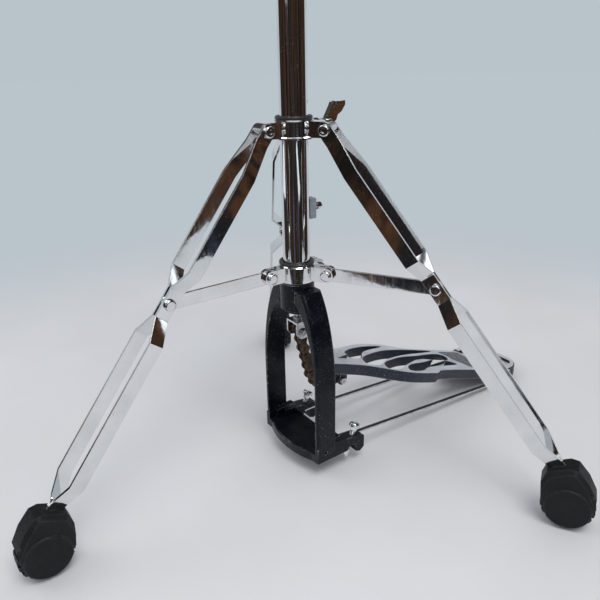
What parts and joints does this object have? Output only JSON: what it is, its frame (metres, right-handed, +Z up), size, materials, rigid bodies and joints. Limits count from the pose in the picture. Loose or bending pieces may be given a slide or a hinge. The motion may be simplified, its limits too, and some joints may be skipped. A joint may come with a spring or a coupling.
{
  "type": "hi-hat stand",
  "caption": "Double-braced three-legged hi-hat stand with a chain-drive foot pedal, sprung pull rod, telescoping tube, cymbal seat and clutch.",
  "frame": {"origin": "on the floor, at the centre of the stand's footprint; the upright tube stands 25 mm behind it, towards +Y", "axes": "+Z up along the tube and the pull rod; the player sits on the -Y side, where the pedal points; +X is the player's right"},
  "size_m": [0.5658, 0.6919, 0.985],
  "materials": {
    "chrome": "polished chrome plate",
    "frame_paint": "semi-gloss black paint on cast metal, chipped at the edges",
    "board_paint": "grey painted casting, worn top, dark sides",
    "black_nylon": "moulded black nylon",
    "grey_plastic": "moulded grey plastic",
    "foot_rubber": "matte black rubber",
    "chain_steel": "surface-rusted steel",
    "zinc_steel": "zinc-plated steel",
    "felt": "pressed wool felt"
  },
  "bodies": {
    "base": {"pedal_frame": "frame_paint", "main_tube": "chrome", "radius_rod_left": "zinc_steel", "radius_rod_right": "zinc_steel", "heel_plate": "board_paint", "heel_pads": "foot_rubber", "hinge_pin": "zinc_steel", "height_clamp": "chrome", "clamp_bush": "black_nylon"},
    "spur_left": {"spur_bolt_left": "chrome"},
    "spur_right": {"spur_bolt_right": "chrome"},
    "tension_slider": {"tension_block": "grey_plastic", "spring_seat": "black_nylon", "spring": "zinc_steel"},
    "tension_knob": {"tension_screw": "chrome"},
    "pull_rod": {"lower_pull_rod": "zinc_steel", "rod_coupler": "zinc_steel", "upper_pull_rod": "chrome", "stirrup": "zinc_steel", "stirrup_nuts": "zinc_steel", "stirrup_screw": "zinc_steel"},
    "chain": {"chain_front_plates": "chain_steel", "chain_front_rollers": "chain_steel", "chain_front_pins": "chain_steel"},
    "pedal": {"footboard": "board_paint", "chain_rear_plates": "chain_steel", "chain_rear_rollers": "chain_steel", "chain_rear_pins": "chain_steel", "chain_anchor_bolt": "zinc_steel"},
    "tripod": {"lower_collar": "chrome", "lower_collar_bush": "black_nylon", "lower_collar_bolt": "chrome", "brace_rivets": "chrome"},
    "crown": {"upper_collar": "chrome", "upper_collar_bush": "black_nylon", "leg_top_rivets": "chrome"},
    "tripod_wing": {"tripod_wing_screw": "chrome"},
    "mast": {"upper_tube": "chrome", "seat_holder": "chrome", "seat_pivot_screw": "chrome"},
    "clamp_wing": {"clamp_wing_screw": "chrome"},
    "seat": {"seat_cup": "chrome", "seat_felt": "felt"},
    "tilter": {"tilter_screw": "chrome"},
    "clutch": {"clutch_body": "chrome", "clutch_nuts": "chrome", "clutch_felts": "felt"},
    "clutch_wing": {"clutch_wing_screw": "chrome"},
    "leg_1": {"leg_1_straps": "chrome", "leg_1_foot": "foot_rubber", "leg_1_knee_rivet": "chrome"},
    "brace_1": {"leg_1_brace": "chrome"},
    "leg_2": {"leg_2_straps": "chrome", "leg_2_foot": "foot_rubber", "leg_2_knee_rivet": "chrome"},
    "brace_2": {"leg_2_brace": "chrome"},
    "leg_3": {"leg_3_straps": "chrome", "leg_3_foot": "foot_rubber", "leg_3_knee_rivet": "chrome"},
    "brace_3": {"leg_3_brace": "chrome"}
  },
  "joints": [
    {"name": "pedal_press", "type": "hinge", "parent": "base", "child": "pedal", "pos_m": [0, -0.305, 0.013], "axis": [-1, 0, 0], "range_deg": [0, 7.4], "stiffness_Nm_per_rad": 56, "springref_deg": -9.17},
    {"name": "rod_pull", "type": "slide", "parent": "base", "child": "pull_rod", "axis": [0, 0, -1], "range_m": [0, 0.03955], "deforming": ["spring"]},
    {"name": "chain_swing", "type": "hinge", "parent": "pull_rod", "child": "chain", "pos_m": [0, 0.025, 0.166], "axis": [1, 0, 0], "range_deg": [0, 8.43]},
    {"name": "tripod_swivel", "type": "hinge", "parent": "base", "child": "tripod", "pos_m": [0, 0.025, 0.23508], "axis": [0, 0, 1], "range_deg": [-20, 20]},
    {"name": "tripod_fold", "type": "slide", "parent": "tripod", "child": "crown", "axis": [0, 0, 1], "range_m": [0, 0.145]},
    {"name": "leg_1_fold", "type": "hinge", "parent": "crown", "child": "leg_1", "pos_m": [0, 0.0603, 0.3813], "axis": [-1, 0, 0], "range_deg": [0, 28.31]},
    {"name": "brace_1_fold", "type": "hinge", "parent": "tripod", "child": "brace_1", "pos_m": [0, 0.0603, 0.23508], "axis": [1, 0, 0], "range_deg": [0, 74.51]},
    {"name": "leg_2_fold", "type": "hinge", "parent": "crown", "child": "leg_2", "pos_m": [-0.03057, 0.00735, 0.3813], "axis": [0.5, -0.866, 0], "range_deg": [0, 28.31]},
    {"name": "brace_2_fold", "type": "hinge", "parent": "tripod", "child": "brace_2", "pos_m": [-0.03057, 0.00735, 0.23508], "axis": [-0.5, 0.866, 0], "range_deg": [0, 74.51]},
    {"name": "leg_3_fold", "type": "hinge", "parent": "crown", "child": "leg_3", "pos_m": [0.03057, 0.00735, 0.3813], "axis": [0.5, 0.866, 0], "range_deg": [0, 28.31]},
    {"name": "brace_3_fold", "type": "hinge", "parent": "tripod", "child": "brace_3", "pos_m": [0.03057, 0.00735, 0.23508], "axis": [-0.5, -0.866, 0], "range_deg": [0, 74.51]},
    {"name": "tripod_wing_turn", "type": "hinge", "parent": "crown", "child": "tripod_wing", "pos_m": [0, -0.005, 0.3813], "axis": [0, -1, 0], "continuous": true},
    {"name": "height_slide", "type": "slide", "parent": "base", "child": "mast", "axis": [0, 0, 1], "range_m": [-0.12, 0.02]},
    {"name": "clamp_wing_turn", "type": "hinge", "parent": "base", "child": "clamp_wing", "pos_m": [0, -0.001, 0.598], "axis": [1, 0, 0], "continuous": true},
    {"name": "seat_tilt", "type": "hinge", "parent": "mast", "child": "seat", "pos_m": [0, 0.045, 0.807], "axis": [-1, 0, 0], "range_deg": [0, 5]},
    {"name": "tilter_turn", "type": "hinge", "parent": "mast", "child": "tilter", "pos_m": [0, 0.0065, 0.793], "axis": [0, 0, 1], "continuous": true},
    {"name": "clutch_slide", "type": "slide", "parent": "pull_rod", "child": "clutch", "axis": [0, 0, 1], "range_m": [-0.04, 0.02]},
    {"name": "clutch_wing_turn", "type": "hinge", "parent": "clutch", "child": "clutch_wing", "pos_m": [0, 0.01, 0.943], "axis": [0, -1, 0], "continuous": true},
    {"name": "tension_slide", "type": "slide", "parent": "base", "child": "tension_slider", "axis": [0, 0, 1], "range_m": [-0.025, 0.025], "deforming": ["spring"]},
    {"name": "tension_knob_turn", "type": "hinge", "parent": "tension_slider", "child": "tension_knob", "pos_m": [0, -0.005, 0.3005], "axis": [0, -1, 0], "continuous": true},
    {"name": "spur_left_turn", "type": "hinge", "parent": "base", "child": "spur_left", "pos_m": [-0.0453, -0.01817, 0.04105], "axis": [0, -0.342, 0.9397], "continuous": true},
    {"name": "spur_right_turn", "type": "hinge", "parent": "base", "child": "spur_right", "pos_m": [0.0453, -0.01817, 0.04105], "axis": [0, -0.342, 0.9397], "continuous": true}
  ],
  "couplings": [
    {"joint": "rod_pull", "follows": "pedal_press", "m_per_rad": 0.30618},
    {"joint": "chain_swing", "follows": "pedal_press", "ratio": 1.1379},
    {"joint": "leg_1_fold", "follows": "tripod_fold", "rad_per_m": 3.4059},
    {"joint": "brace_1_fold", "follows": "tripod_fold", "rad_per_m": 8.9677},
    {"joint": "leg_2_fold", "follows": "tripod_fold", "rad_per_m": 3.4059},
    {"joint": "brace_2_fold", "follows": "tripod_fold", "rad_per_m": 8.9677},
    {"joint": "leg_3_fold", "follows": "tripod_fold", "rad_per_m": 3.4059},
    {"joint": "brace_3_fold", "follows": "tripod_fold", "rad_per_m": 8.9677}
  ]
}
